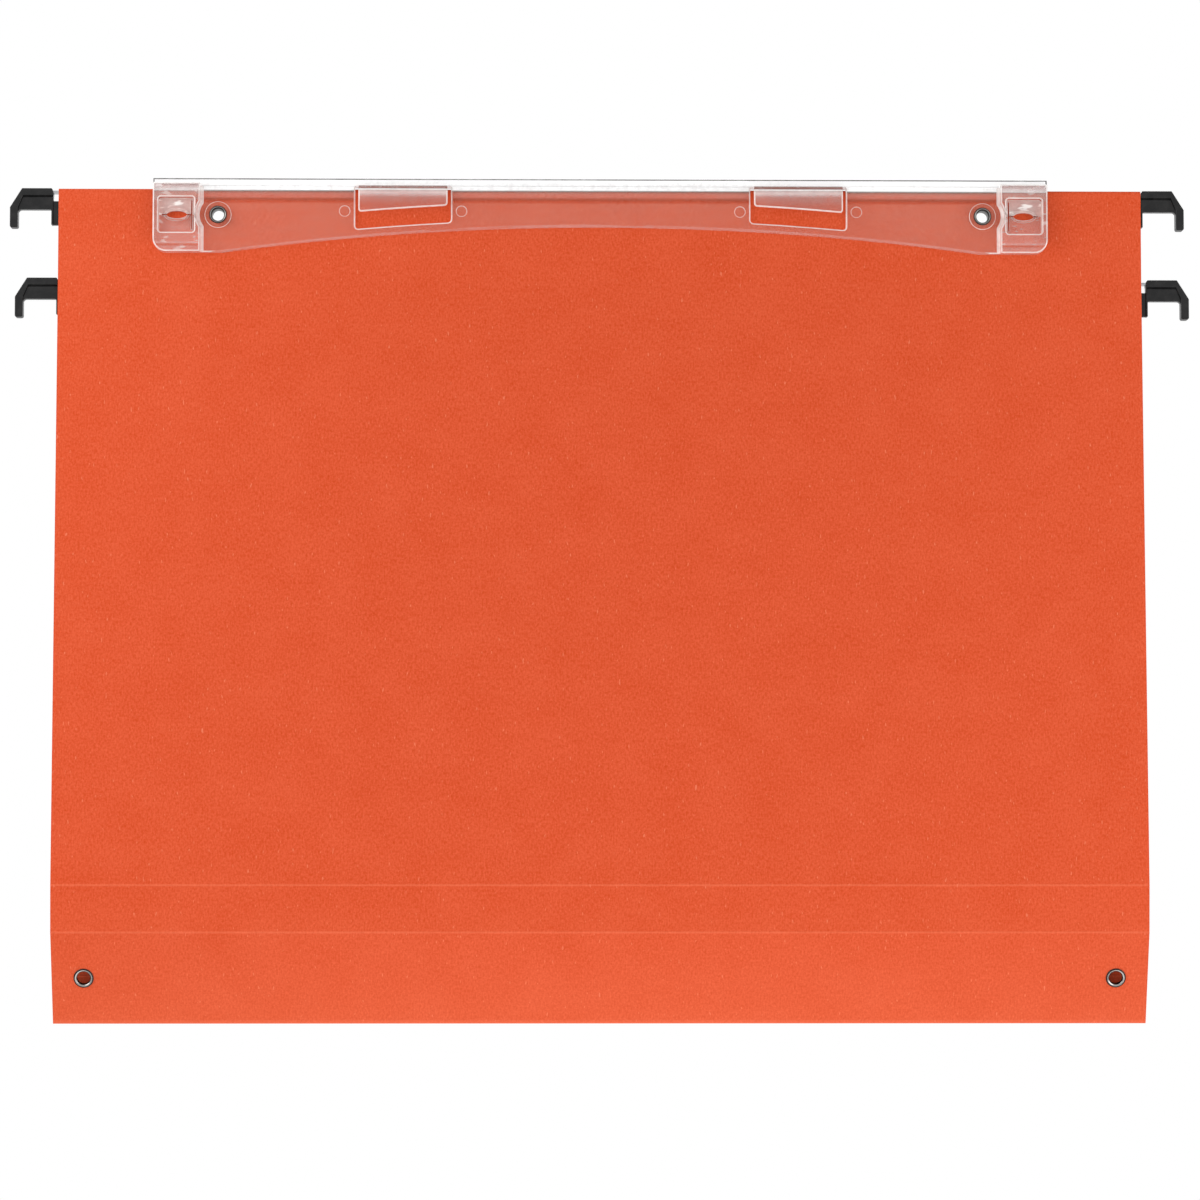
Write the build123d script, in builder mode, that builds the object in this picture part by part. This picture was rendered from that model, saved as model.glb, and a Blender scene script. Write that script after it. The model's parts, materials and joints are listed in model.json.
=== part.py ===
"""Hanging file folder of creased card on two steel bars with plastic rail hooks."""

import os
from math import asin, cos, degrees, radians, sin, tan

from build123d import *

os.makedirs("parts", exist_ok=True)

# Driving dimensions, in millimetres and degrees.
# The origin lies midway between the front hooks' seats on the two rails.
# X runs along the bars, the front faces -Y and +Z is up.

# Card sheet
card_width = 317.5
card = 0.4
panel_height = 203.8
flank_height = 13.6
base_width = 28.0
panel_lean = 2.0
flank_lean = 4.0
crease_gap = 0.05
nest_gap = 0.65
hook_gap = 0.85

# Hem folded over a bar and glued to the panel
pocket_depth = 11.4
glue_start = 15.5
hem_depth = 27.0
hem_play = 0.15
hem_corner = 0.5

# Steel bar, an inverted channel
bar_depth = 2.2
bar_height = 4.4
bar_web = 0.9
bar_wall = 0.6
bar_corner = 0.5
bar_shift = 0.75

# Plastic hook
throat_width = 9.7
arm_width = 2.35
arm_drop = 5.4
hook_rise = 6.2
hook_slope_width = 3.5
hook_slope_height = 5.6
hook_neck = 0.55
hook_nose_width = 0.4
hook_nose_height = 0.8
hook_web = 2.6
hook_rim = 3.6
rim_height = 2.1
rim_width = 1.45
seat_outer_radius = 1.0
seat_inner_radius = 0.5
arm_tip_radius = 0.6
tab_length = 3.15
tab_rise = 2.5
tab_drop = 4.55
tab_thickness = 1.8
socket_depth = 7.4
socket_play = 0.05
leg_clearance = 0.5

# Clear label holder on the front hem
holder_length = 262.0
plate_thickness = 1.2
plate_end_drop = 18.95
plate_middle_drop = 11.3
plate_foot = 6.6
plate_edge_round = 0.7
tray_lift = 0.7
tray_height = 2.2
tray_front = 1.35
tray_depth = 10.0
tray_wall = 0.8
tray_skin = 0.7
tray_end_wall = 2.0
block_width = 13.8
block_thickness = 3.2
block_corner = 4.0
block_relief = 6.4
socket_width = 10.4
socket_height = 10.3
socket_side_wall = 1.7
socket_top_drop = 2.9
socket_floor = 1.0
socket_corner = 0.8
lens_width = 5.9
lens_height = 2.3
lens_rim = 0.7
lens_rim_rise = 0.6
slit_width = 0.4
window_width = 28.0
window_offset = 57.9
window_margin = 2.6
tongue_width = 26.1
tongue_thickness = 0.8
tongue_reach = 2.9
tongue_bend = 1.8
tongue_margin = 7.2
mark_radius = 1.5
mark_depth = 0.15
mark_margin = 3.1
mark_drop = 6.7

# Paper label in the holder
label_thickness = 0.4
label_play = 0.2

# Steel eyelets
label_eyelet_inset = 19.0
label_eyelet_drop = 7.9
label_eyelet_bore = 1.75
label_eyelet_flange = 2.6
boss_radius = 3.9
boss_rise = 0.3
base_eyelet_inset = 9.25
base_eyelet_bore = 1.9
base_eyelet_flange = 2.9
eyelet_wall = 0.3
eyelet_flange_thickness = 0.35
eyelet_round = 0.15
eyelet_play = 0.05

# Stiffening strip inside the base
stiffener_thickness = 0.8
stiffener_margin = 5.0
stiffener_end_margin = 2.0

# Places that follow from the driving dimensions
pocket_gap = bar_depth + 2 * hem_play
layer_offset = (pocket_gap + card) / 2
front_top = hook_rise
panel_below_hem = panel_height - hem_depth

front_outer_crease = Vector(
    -layer_offset - panel_below_hem * sin(radians(panel_lean)),
    front_top - hem_depth - panel_below_hem * cos(radians(panel_lean)),
)
front_inner_crease = Vector(
    front_outer_crease.X + flank_height * sin(radians(flank_lean)),
    front_outer_crease.Y - flank_height * cos(radians(flank_lean)),
)
front_flap_face = card - pocket_gap / 2
rear_panel_y = front_flap_face + nest_gap + pocket_gap + 1.5 * card
base_lean = degrees(asin((rear_panel_y - front_inner_crease.X) / base_width))
rear_inner_crease = Vector(
    rear_panel_y,
    front_inner_crease.Y - base_width * cos(radians(base_lean)),
)
rear_outer_crease = Vector(rear_panel_y, rear_inner_crease.Y + flank_height)
rear_top = rear_outer_crease.Y + panel_height
fold_trim = card / 2 / tan(radians(base_lean / 2)) + crease_gap / sin(radians(base_lean))
crease_trim = card / 2 + crease_gap

neck_x = throat_width / 2 + hook_neck
rail_spacing = card_width + 2 * (hook_gap + neck_x)
rail_x = rail_spacing / 2
label_eyelet_spacing = holder_length - 2 * label_eyelet_inset
base_eyelet_spacing = card_width - 2 * base_eyelet_inset
card_x = bar_shift
rear_bar_x = card_x + bar_shift
rear_bar_y = rear_panel_y - layer_offset
rear_seat_z = rear_top - hook_rise
bar_drop = card + hem_play

card_plane = Plane.YZ.offset(card_x)
holder_plane = Plane(
    origin=(card_x, -layer_offset - card / 2, front_top),
    x_dir=(1, 0, 0),
    z_dir=(0, -1, 0),
)
base_normal = (0, -cos(radians(base_lean)), -sin(radians(base_lean)))
base_middle = (front_inner_crease + rear_inner_crease) / 2
base_plane = Plane(
    origin=(card_x, base_middle.X, base_middle.Y),
    x_dir=(1, 0, 0),
    z_dir=base_normal,
)
barrel_radius = label_eyelet_bore + eyelet_wall
base_barrel_radius = base_eyelet_bore + eyelet_wall


def finish(piece, name):
    """Label a finished piece and write it to its own file."""
    piece.part.label = name
    export_step(piece.part, f"parts/{name}.step")


def toward(start, end, distance):
    """Point on the way from start to end, a distance from start."""
    return start + (end - start).normalized() * distance


def make_panel(name, panel_y, inward, top, foot, rounded_foot, holes):
    """Card panel with a hem folded round its bar, a glued flap and a crease edge at its foot."""
    outer = panel_y - inward * card / 2
    inner = panel_y + inward * card / 2
    pouch = inner + inward * pocket_gap
    along = (Vector(panel_y, top - hem_depth) - foot).normalized()
    across = Vector(-along.Y, along.X) * (inward * card / 2)
    with BuildPart() as panel:
        with BuildSketch(card_plane):
            with BuildLine():
                Polyline(
                    (outer, top),
                    (pouch + inward * card, top),
                    (pouch + inward * card, top - pocket_depth),
                    (inner + inward * card, top - glue_start),
                    (inner + inward * card, top - hem_depth),
                    (inner, top - hem_depth),
                    foot - across,
                    foot + across,
                    (outer, top - hem_depth),
                    close=True,
                )
            make_face()
            fillet(vertices().group_by(Axis.Y)[-1], hem_corner + card)
            if rounded_foot:
                with Locations(foot):
                    Circle(card / 2)
        extrude(amount=card_width / 2, both=True)
        with BuildSketch(card_plane):
            with BuildLine():
                Polyline(
                    (inner, top - card),
                    (pouch, top - card),
                    (pouch, top - pocket_depth),
                    (inner, top - glue_start),
                    close=True,
                )
            make_face()
            fillet(vertices().group_by(Axis.Y)[-1], hem_corner)
        extrude(amount=card_width / 2, both=True, mode=Mode.SUBTRACT)
        if holes:
            with BuildSketch(holder_plane):
                with Locations((0, -label_eyelet_drop)):
                    with GridLocations(label_eyelet_spacing, 0, 2, 1):
                        Circle(barrel_radius + eyelet_play)
            extrude(amount=-(pocket_gap + 2 * card), mode=Mode.SUBTRACT)
    finish(panel, name)


make_panel("front_panel", -layer_offset, 1, front_top, front_outer_crease, True, True)
rear_foot = rear_outer_crease + Vector(0, crease_trim)
make_panel("rear_panel", rear_panel_y, -1, rear_top, rear_foot, False, False)

# Front flank between the outer and the inner crease
with BuildPart() as front_flank:
    with BuildSketch(card_plane):
        with BuildLine():
            Line(toward(front_outer_crease, front_inner_crease, crease_trim), front_inner_crease)
        trace(line_width=card)
        with Locations(front_inner_crease):
            Circle(card / 2)
    extrude(amount=card_width / 2, both=True)
finish(front_flank, "front_flank")

# Base strip, with a hole at each end for an eyelet
with BuildPart() as base_strip:
    with BuildSketch(card_plane):
        with BuildLine():
            Line(toward(front_inner_crease, rear_inner_crease, crease_trim), rear_inner_crease)
        trace(line_width=card)
        with Locations(rear_inner_crease):
            Circle(card / 2)
    extrude(amount=card_width / 2, both=True)
    with BuildSketch(base_plane):
        with GridLocations(base_eyelet_spacing, 0, 2, 1):
            Circle(base_barrel_radius + eyelet_play)
    extrude(amount=card, both=True, mode=Mode.SUBTRACT)
finish(base_strip, "base_strip")

# Stiffening strip on the inside of the base
with BuildPart() as base_stiffener:
    with BuildSketch(base_plane.offset(-card / 2)):
        Rectangle(card_width - 2 * stiffener_end_margin, base_width - 2 * stiffener_margin)
        with GridLocations(base_eyelet_spacing, 0, 2, 1):
            Circle(base_barrel_radius + eyelet_play, mode=Mode.SUBTRACT)
    extrude(amount=-stiffener_thickness)
finish(base_stiffener, "base_stiffener")

# Rear flank, cut back at the sharp bottom fold
with BuildPart() as rear_flank:
    with BuildSketch(card_plane):
        with BuildLine():
            Line(toward(rear_inner_crease, rear_outer_crease, fold_trim), rear_outer_crease)
        trace(line_width=card)
        with Locations(rear_outer_crease):
            Circle(card / 2)
    extrude(amount=card_width / 2, both=True)
finish(rear_flank, "rear_flank")


def make_bar(name, x, y, top):
    """Inverted steel channel whose web runs on into both hooks."""
    channel_half = rail_x - throat_width / 2 - tab_length - leg_clearance
    web_half = rail_x - neck_x + socket_depth - socket_play
    middle = Plane.YZ.offset(x)
    with BuildPart() as bar:
        with BuildSketch(middle):
            with Locations((y, top)):
                Rectangle(bar_depth, bar_web, align=(Align.CENTER, Align.MAX))
        extrude(amount=web_half, both=True)
        with BuildSketch(middle):
            with Locations((y, top)):
                Rectangle(bar_depth, bar_height, align=(Align.CENTER, Align.MAX))
            with Locations((y, top - bar_web)):
                Rectangle(
                    bar_depth - 2 * bar_wall,
                    bar_height - bar_web,
                    align=(Align.CENTER, Align.MAX),
                    mode=Mode.SUBTRACT,
                )
        extrude(amount=channel_half, both=True)
        fillet(bar.faces().sort_by(Axis.Z)[-1].edges().filter_by(Axis.X), bar_corner)
    finish(bar, name)


def make_hook(name, x, y, seat, inward):
    """Plastic hook with its seat on the rail, its rim, its tab in the hem and the bar's socket."""
    throat = throat_width / 2
    outer = throat + arm_width
    slope_foot = hook_rise - hook_slope_height
    rim_foot = hook_rise - rim_height
    profile = Plane(origin=(x, y, seat), x_dir=(inward, 0, 0), z_dir=(0, -inward, 0))
    outline = [
        (-outer, -arm_drop),
        (-outer, slope_foot),
        (hook_slope_width - outer, hook_rise),
        (neck_x - hook_nose_width, hook_rise),
        (neck_x, hook_rise - hook_nose_height),
    ]
    with BuildPart() as hook:
        with BuildSketch(profile):
            with BuildLine():
                Polyline(
                    *outline,
                    (neck_x, -tab_drop),
                    (throat, -tab_drop),
                    (throat, 0),
                    (-throat, 0),
                    (-throat, -arm_drop),
                    close=True,
                )
            make_face()
            seat_corners = vertices().filter_by_position(Axis.Y, 0, 0).sort_by(Axis.X)
            fillet(seat_corners[0], seat_outer_radius)
            seat_corners = vertices().filter_by_position(Axis.Y, 0, 0).sort_by(Axis.X)
            fillet(seat_corners[-1], seat_inner_radius)
            fillet(vertices().group_by(Axis.Y)[0], arm_tip_radius)
        extrude(amount=hook_web / 2, both=True)
        with BuildSketch(profile):
            with BuildLine():
                Polyline(
                    *outline,
                    (neck_x, rim_foot),
                    (rim_width - throat, rim_foot),
                    (-throat, slope_foot),
                    (-throat, -arm_drop),
                    close=True,
                )
            make_face()
            fillet(vertices().group_by(Axis.Y)[0], arm_tip_radius)
        extrude(amount=hook_rim / 2, both=True)
        with BuildSketch(profile):
            with Locations((throat, tab_rise)):
                Rectangle(tab_length, tab_rise + tab_drop, align=(Align.MIN, Align.MAX))
        extrude(amount=tab_thickness / 2, both=True)
        with BuildSketch(profile):
            with Locations((neck_x, hook_rise - bar_drop + socket_play)):
                Rectangle(socket_depth, bar_web + 2 * socket_play, align=(Align.MAX, Align.MAX))
        extrude(amount=bar_depth / 2 + socket_play, both=True, mode=Mode.SUBTRACT)
    finish(hook, name)


make_bar("front_bar", 0, 0, front_top - bar_drop)
make_hook("front_left_hook", -rail_x, 0, 0, 1)
make_hook("front_right_hook", rail_x, 0, 0, -1)
make_bar("rear_bar", rear_bar_x, rear_bar_y, rear_top - bar_drop)
make_hook("rear_left_hook", rear_bar_x - rail_x, rear_bar_y, rear_seat_z, 1)
make_hook("rear_right_hook", rear_bar_x + rail_x, rear_bar_y, rear_seat_z, -1)


half_length = holder_length / 2
arc_end = half_length - block_width - plate_foot


def arc_drop(x, margin):
    """Height below the card's top edge of the plate's curved lower edge, less a margin."""
    return plate_middle_drop - margin + (plate_end_drop - plate_middle_drop) * (x / arc_end) ** 2


# Clear label holder: riveted plate, label tray, end blocks with link sockets, two spring tongues
block_x = half_length - block_width / 2
socket_x = half_length - socket_side_wall - socket_width / 2
tray_floor = tray_lift + tray_skin
tray_slot = tray_height - 2 * tray_skin

with BuildPart() as label_holder:
    with BuildSketch(holder_plane):
        with BuildLine():
            Polyline(
                (-arc_end, -plate_end_drop),
                (-half_length, -plate_end_drop),
                (-half_length, tray_floor),
                (half_length, tray_floor),
                (half_length, -plate_end_drop),
                (arc_end, -plate_end_drop),
            )
            ThreePointArc(
                (arc_end, -plate_end_drop),
                (0, -plate_middle_drop),
                (-arc_end, -plate_end_drop),
            )
        make_face()
        lowest = vertices().group_by(Axis.Y)[0].sort_by(Axis.X)
        fillet([lowest[0], lowest[-1]], block_corner)
    extrude(amount=plate_thickness)
    lower_edges = edges().group_by(Axis.Y)[0].filter_by(GeomType.CIRCLE)
    fillet(lower_edges.sort_by(SortBy.LENGTH)[-1], plate_edge_round)

    # Raised end blocks, hollowed beside the eyelets
    with BuildSketch(holder_plane):
        with Locations((0, tray_floor)):
            with GridLocations(2 * block_x, 0, 2, 1):
                Rectangle(block_width, tray_floor + plate_end_drop, align=(Align.CENTER, Align.MAX))
        lowest = vertices().group_by(Axis.Y)[0].sort_by(Axis.X)
        fillet([lowest[0], lowest[-1]], block_corner)
        with Locations((0, -label_eyelet_drop)):
            with GridLocations(label_eyelet_spacing, 0, 2, 1):
                Circle(block_relief, mode=Mode.SUBTRACT)
    extrude(amount=block_thickness)

    # Link sockets: a pocket in each block with a lens-shaped slot between two spring jaws
    with BuildSketch(holder_plane.offset(socket_floor)):
        with Locations((0, -socket_top_drop)):
            with GridLocations(2 * socket_x, 0, 2, 1):
                RectangleRounded(
                    socket_width,
                    socket_height,
                    socket_corner,
                    align=(Align.CENTER, Align.MAX),
                )
    extrude(amount=block_thickness, mode=Mode.SUBTRACT)
    with BuildSketch(holder_plane):
        with Locations((0, -label_eyelet_drop)):
            with GridLocations(2 * socket_x, 0, 2, 1):
                Ellipse(lens_width / 2 + lens_rim, lens_height / 2 + lens_rim)
    extrude(amount=socket_floor + lens_rim_rise)
    with BuildSketch(holder_plane):
        with Locations((0, -label_eyelet_drop)):
            with GridLocations(2 * socket_x, 0, 2, 1):
                Ellipse(lens_width / 2, lens_height / 2)
                Rectangle(socket_width - 2 * socket_corner, slit_width)
            for side in (-1, 1):
                with Locations((side * (socket_x - socket_width / 2 + socket_corner), 0)):
                    Rectangle(slit_width, socket_height - 2 * socket_corner)
    extrude(amount=block_thickness, mode=Mode.SUBTRACT)

    # Windows behind the tongues
    for side in (-1, 1):
        inner_x = side * (window_offset - window_width / 2)
        outer_x = side * (window_offset + window_width / 2)
        middle_x = side * window_offset
        with BuildSketch(holder_plane):
            with BuildLine():
                Polyline(
                    (inner_x, -arc_drop(inner_x, window_margin)),
                    (inner_x, tray_lift),
                    (outer_x, tray_lift),
                    (outer_x, -arc_drop(outer_x, window_margin)),
                )
                ThreePointArc(
                    (outer_x, -arc_drop(outer_x, window_margin)),
                    (middle_x, -arc_drop(middle_x, window_margin)),
                    (inner_x, -arc_drop(inner_x, window_margin)),
                )
            make_face()
        extrude(amount=plate_thickness, mode=Mode.SUBTRACT)

    # Label tray along the top, closed at its left end and open at its right end
    with BuildSketch(holder_plane.offset(tray_front)):
        with Locations((0, tray_lift)):
            Rectangle(holder_length, tray_height, align=(Align.CENTER, Align.MIN))
    extrude(amount=-tray_depth)
    with BuildSketch(holder_plane.offset(tray_front - tray_wall)):
        with Locations((half_length, tray_floor)):
            Rectangle(
                holder_length - tray_end_wall,
                tray_slot,
                align=(Align.MAX, Align.MIN),
            )
    extrude(amount=-(tray_depth - 2 * tray_wall), mode=Mode.SUBTRACT)

    # Spring tongues: a shelf under the tray, a round bend and a leaf that follows the plate's arc
    for side in (-1, 1):
        leaf_plane = Plane(
            origin=holder_plane.from_local_coords((side * window_offset, tray_lift, 0)),
            x_dir=(0, -1, 0),
            z_dir=(-1, 0, 0),
        )
        leaf_end = arc_drop(window_offset + tongue_width / 2, tongue_margin) + tray_lift
        shelf = tongue_thickness / 4
        with BuildSketch(leaf_plane):
            with BuildLine():
                FilletPolyline(
                    (tongue_thickness / 2, -shelf),
                    (tongue_reach, -shelf),
                    (tongue_reach, -leaf_end),
                    radius=tongue_bend,
                )
            trace(line_width=tongue_thickness)
        extrude(amount=tongue_width / 2, both=True)
        inner_x = side * (window_offset - tongue_width / 2)
        outer_x = side * (window_offset + tongue_width / 2)
        middle_x = side * window_offset
        with BuildSketch(holder_plane.offset(plate_thickness)):
            with BuildLine():
                Polyline(
                    (inner_x, -arc_drop(inner_x, tongue_margin)),
                    (inner_x, -plate_end_drop),
                    (outer_x, -plate_end_drop),
                    (outer_x, -arc_drop(outer_x, tongue_margin)),
                )
                ThreePointArc(
                    (outer_x, -arc_drop(outer_x, tongue_margin)),
                    (middle_x, -arc_drop(middle_x, tongue_margin)),
                    (inner_x, -arc_drop(inner_x, tongue_margin)),
                )
            make_face()
        extrude(amount=tongue_reach + tongue_thickness, mode=Mode.SUBTRACT)

    # Eyelet bosses with their holes, and round moulding marks beside the windows
    with BuildSketch(holder_plane):
        with Locations((0, -label_eyelet_drop)):
            with GridLocations(label_eyelet_spacing, 0, 2, 1):
                Circle(boss_radius)
    extrude(amount=plate_thickness + boss_rise)
    with BuildSketch(holder_plane):
        with Locations((0, -label_eyelet_drop)):
            with GridLocations(label_eyelet_spacing, 0, 2, 1):
                Circle(barrel_radius + eyelet_play)
    extrude(amount=plate_thickness + boss_rise, mode=Mode.SUBTRACT)
    with BuildSketch(holder_plane.offset(plate_thickness - mark_depth)):
        with Locations((0, -mark_drop)):
            with GridLocations(2 * (window_offset - window_width / 2 - mark_margin), 0, 2, 1):
                Circle(mark_radius)
            with GridLocations(2 * (window_offset + window_width / 2 + mark_margin), 0, 2, 1):
                Circle(mark_radius)
    extrude(amount=mark_depth, mode=Mode.SUBTRACT)
finish(label_holder, "label_holder")

# Paper label lying in the tray
label_length = holder_length - tray_end_wall - 2 * label_play
with BuildPart() as label_insert:
    with BuildSketch(holder_plane.offset(tray_front - tray_wall - label_play)):
        with Locations((half_length - label_play, tray_floor + socket_play)):
            Rectangle(label_length, label_thickness, align=(Align.MAX, Align.MIN))
    extrude(amount=-(tray_depth - 2 * tray_wall - 2 * label_play))
finish(label_insert, "label_insert")


def make_eyelet(name, seat, bore, flange, grip):
    """Hollow steel rivet: a rolled flange on the seat, a barrel and a second flange behind."""
    barrel = bore + eyelet_wall
    section = Plane(origin=seat.origin, x_dir=seat.x_dir, z_dir=seat.x_dir.cross(seat.z_dir))
    with BuildPart() as eyelet:
        with BuildSketch(section):
            with BuildLine():
                Polyline(
                    (bore, eyelet_flange_thickness),
                    (flange, eyelet_flange_thickness),
                    (flange, 0),
                    (barrel, 0),
                    (barrel, -grip),
                    (flange, -grip),
                    (flange, -grip - eyelet_flange_thickness),
                    (bore, -grip - eyelet_flange_thickness),
                    close=True,
                )
            make_face()
            fillet(vertices().group_by(Axis.Y)[0], eyelet_round)
            fillet(vertices().group_by(Axis.Y)[-1], eyelet_round)
        revolve(axis=Axis(seat.origin, seat.z_dir))
    finish(eyelet, name)


label_grip = plate_thickness + boss_rise + 2 * card + pocket_gap
base_grip = card + stiffener_thickness
label_seat = holder_plane.offset(plate_thickness + boss_rise)
base_seat = base_plane.offset(card / 2)
for side, name in ((-1, "left"), (1, "right")):
    label_spot = (side * label_eyelet_spacing / 2, -label_eyelet_drop)
    make_eyelet(
        f"label_{name}_eyelet",
        label_seat.shift_origin(label_seat.from_local_coords(label_spot)),
        label_eyelet_bore,
        label_eyelet_flange,
        label_grip,
    )
    base_spot = (side * base_eyelet_spacing / 2, 0)
    make_eyelet(
        f"base_{name}_eyelet",
        base_seat.shift_origin(base_seat.from_local_coords(base_spot)),
        base_eyelet_bore,
        base_eyelet_flange,
        base_grip,
    )
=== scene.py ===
import json
from math import cos, pi, radians, sin, tan

import bmesh
import bpy
from mathutils import Matrix, Vector
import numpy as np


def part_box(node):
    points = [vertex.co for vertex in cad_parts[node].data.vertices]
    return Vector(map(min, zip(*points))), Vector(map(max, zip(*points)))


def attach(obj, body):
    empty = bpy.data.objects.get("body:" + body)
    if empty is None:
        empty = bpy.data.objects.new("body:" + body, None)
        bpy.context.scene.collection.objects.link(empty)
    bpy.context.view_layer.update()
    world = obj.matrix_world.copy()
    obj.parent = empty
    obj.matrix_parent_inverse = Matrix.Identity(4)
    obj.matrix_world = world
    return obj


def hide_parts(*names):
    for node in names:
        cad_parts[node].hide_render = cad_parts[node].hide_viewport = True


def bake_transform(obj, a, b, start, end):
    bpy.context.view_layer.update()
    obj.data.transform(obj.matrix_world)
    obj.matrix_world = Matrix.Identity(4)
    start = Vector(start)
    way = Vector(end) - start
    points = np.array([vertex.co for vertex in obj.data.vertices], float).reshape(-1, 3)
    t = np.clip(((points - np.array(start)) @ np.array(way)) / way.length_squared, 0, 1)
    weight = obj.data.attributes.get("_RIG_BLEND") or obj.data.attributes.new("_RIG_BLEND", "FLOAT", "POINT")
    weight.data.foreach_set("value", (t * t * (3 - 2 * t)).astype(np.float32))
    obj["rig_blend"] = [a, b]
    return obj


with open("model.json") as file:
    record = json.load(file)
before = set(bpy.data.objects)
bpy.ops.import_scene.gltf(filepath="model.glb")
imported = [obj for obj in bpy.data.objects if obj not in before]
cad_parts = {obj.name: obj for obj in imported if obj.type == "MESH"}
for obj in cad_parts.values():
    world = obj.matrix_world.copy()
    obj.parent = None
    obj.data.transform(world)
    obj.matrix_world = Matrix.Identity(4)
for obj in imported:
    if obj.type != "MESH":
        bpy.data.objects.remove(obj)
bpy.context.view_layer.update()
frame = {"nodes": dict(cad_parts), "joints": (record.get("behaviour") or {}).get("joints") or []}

nodes = frame["nodes"]
joints = {joint["name"]: joint for joint in frame["joints"]}
mm = 0.001


class Wire:  # a node socket that takes part in sums
    def __init__(self, tree, socket):
        self.tree = tree
        self.socket = socket

    def node(self, kind, settings=None, values=None, out=0):
        made = self.tree.nodes.new(kind)
        for name, value in (settings or {}).items():
            if name == "stops":
                while len(made.color_ramp.elements) < len(value):
                    made.color_ramp.elements.new(0.5)
                for stop, (place, shade) in zip(made.color_ramp.elements, value):
                    stop.position = place
                    stop.color = shade if len(shade) == 4 else (*shade, 1)
            else:
                setattr(made, name, value)
        for name, value in (values or {}).items():
            if isinstance(value, Wire):
                self.tree.links.new(value.socket, made.inputs[name])
            else:
                made.inputs[name].default_value = value
        return Wire(self.tree, made.outputs[out] if made.outputs else None)

    def maths(self, operation, first, second=0.0):
        return self.node("ShaderNodeMath", {"operation": operation}, {0: first, 1: second})

    def __add__(self, other):
        return self.maths("ADD", self, other)

    def __radd__(self, other):
        return self.maths("ADD", other, self)

    def __sub__(self, other):
        return self.maths("SUBTRACT", self, other)

    def __mul__(self, other):
        return self.maths("MULTIPLY", self, other)

    def __rmul__(self, other):
        return self.maths("MULTIPLY", other, self)

    def between(self, low, high):  # smooth step from 0 at low to 1 at high
        return self.node(
            "ShaderNodeMapRange",
            {"interpolation_type": "SMOOTHSTEP"},
            {"Value": self, "From Min": low, "From Max": high},
        )

    def noise(self, scale, detail=2.0, rough=0.5):
        return self.node(
            "ShaderNodeTexNoise",
            {"noise_dimensions": "3D"},
            {"Vector": self, "Scale": scale, "Detail": detail, "Roughness": rough},
        )

    def stretch(self, x, y, z):
        return self.node("ShaderNodeMapping", {}, {"Vector": self, "Scale": (x, y, z)})

    def tint(self, first, second):  # self as the share of the second colour
        return self.node(
            "ShaderNodeMix", {"data_type": "RGBA"}, {0: self, 6: first, 7: second}, out=2
        )

    def bump(self, strength, distance):
        return self.node(
            "ShaderNodeBump", {}, {"Height": self, "Strength": strength, "Distance": distance}
        )

    def shade(self, **values):
        named = {name.replace("_", " "): value for name, value in values.items()}
        surface = self.node("ShaderNodeBsdfPrincipled", {}, named)
        self.node("ShaderNodeOutputMaterial", {}, {"Surface": surface})


def newMaterial(name, coordinate):  # an empty material and its texture coordinate
    made = bpy.data.materials.new(name)
    made.use_nodes = True
    made.node_tree.nodes.clear()
    start = made.node_tree.nodes.new("ShaderNodeTexCoord")
    return made, Wire(made.node_tree, start.outputs[coordinate])


cardLook = dict(
    pale=(0.724, 0.109, 0.041),
    deep=(0.569, 0.049, 0.003),
    fleck=(0.84, 0.27, 0.15),
    # worn is the paler colour of rubbed folds, and over the foot that of a painted sheen
    worn=(0.84, 0.18, 0.085),
    roughness=0.82,
)


def orangeCard():  # dyed kraft card: cloudy formation, short fibres, a few pale flecks, pale folds, and a painted sheen that pales the foot towards the bottom fold
    made, sheet = newMaterial("orangeCard", "UV")
    clouds = sheet.noise(70, 4, 0.6)
    grain = sheet.noise(1500, 3, 0.7)
    fibres = sheet.stretch(1, 0.25, 1).noise(2600, 2, 0.6)
    specks = sheet.stretch(1, 0.35, 1).noise(1400, 1, 0.5)
    wear = sheet.node("ShaderNodeAttribute", {"attribute_name": "wear"}, out="Fac")
    tone = 0.5 + 0.25 * (clouds - 0.5) + 0.9 * (grain - 0.5) + 0.6 * (fibres - 0.5)
    dyed = tone.between(0.15, 0.85).tint(cardLook["deep"] + (1,), cardLook["pale"] + (1,))
    flecked = (0.4 * specks.between(0.69, 0.77)).tint(dyed, cardLook["fleck"] + (1,))
    # the worn colour pales the folds, and over the foot it is a painted sheen
    colour = (0.55 * wear).tint(flecked, cardLook["worn"] + (1,))
    rough = cardLook["roughness"] + 0.1 * (grain - 0.5)
    relief = (0.6 * grain + 0.4 * fibres).bump(0.25, 0.04 * mm)
    sheet.shade(Base_Color=colour, Roughness=rough, Normal=relief, Specular_IOR_Level=0.25)
    return made


plasticLook = dict(black=(0.004, 0.004, 0.0042), worn=(0.012, 0.0115, 0.0115), roughness=0.36)


def blackPlastic(name, gloss):  # moulded, satin, with a fine spark-eroded grain
    made, place = newMaterial(name, "Object")
    grain = place.noise(5200, 2, 0.5)
    flow = place.noise(420, 3, 0.55)
    colour = flow.between(0.35, 0.75).tint(plasticLook["black"] + (1,), plasticLook["worn"] + (1,))
    rough = plasticLook["roughness"] + 0.14 * (flow - 0.5)
    relief = grain.bump(0.12, 0.02 * mm)
    place.shade(Base_Color=colour, Roughness=rough, Normal=relief, Specular_IOR_Level=gloss)
    return made


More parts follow.
